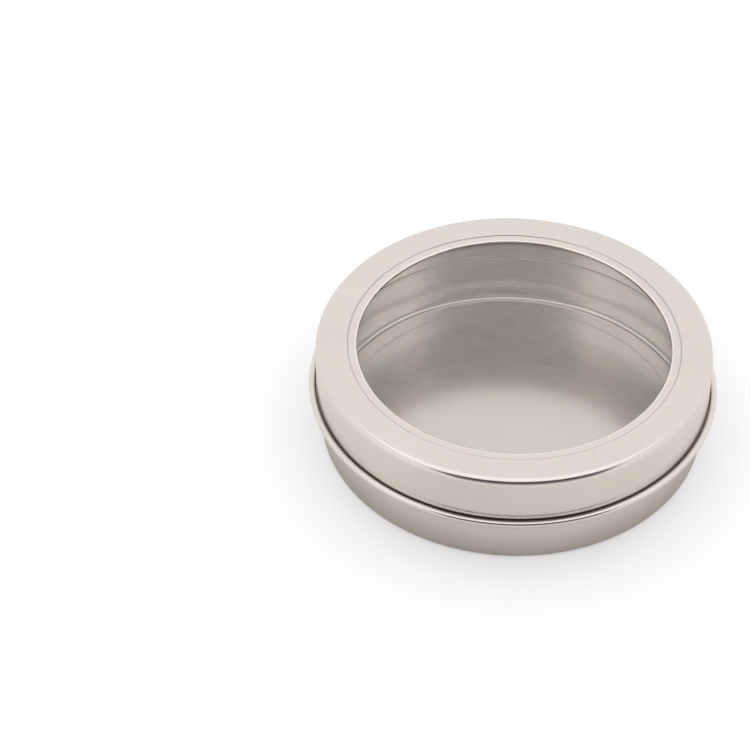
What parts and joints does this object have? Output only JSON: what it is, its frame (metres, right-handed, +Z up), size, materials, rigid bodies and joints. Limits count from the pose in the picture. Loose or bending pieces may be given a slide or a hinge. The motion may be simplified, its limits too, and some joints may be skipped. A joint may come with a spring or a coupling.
{
  "type": "round window lid tin",
  "caption": "Round shallow tinplate box with a slip lid that lifts off and a clear round window in the lid.",
  "frame": {"origin": "centre of the foot, on the surface that the tin stands on", "axes": "+Z up along the axis of the tin, X and Y across it; the tin is round, so X and Y are free"},
  "size_m": [0.1006, 0.1006, 0.0268],
  "materials": {
    "base_tinplate": "satin",
    "lid_tinplate": "satin",
    "clear_pane": "clear gloss"
  },
  "bodies": {
    "base": {"tin_base": "base_tinplate"},
    "lid": {"lid_ring": "lid_tinplate", "window_pane": "clear_pane"}
  },
  "joints": [
    {"name": "lid_lift", "type": "slide", "parent": "base", "child": "lid", "axis": [0, 0, 1], "range_m": [0, 0.04]}
  ]
}
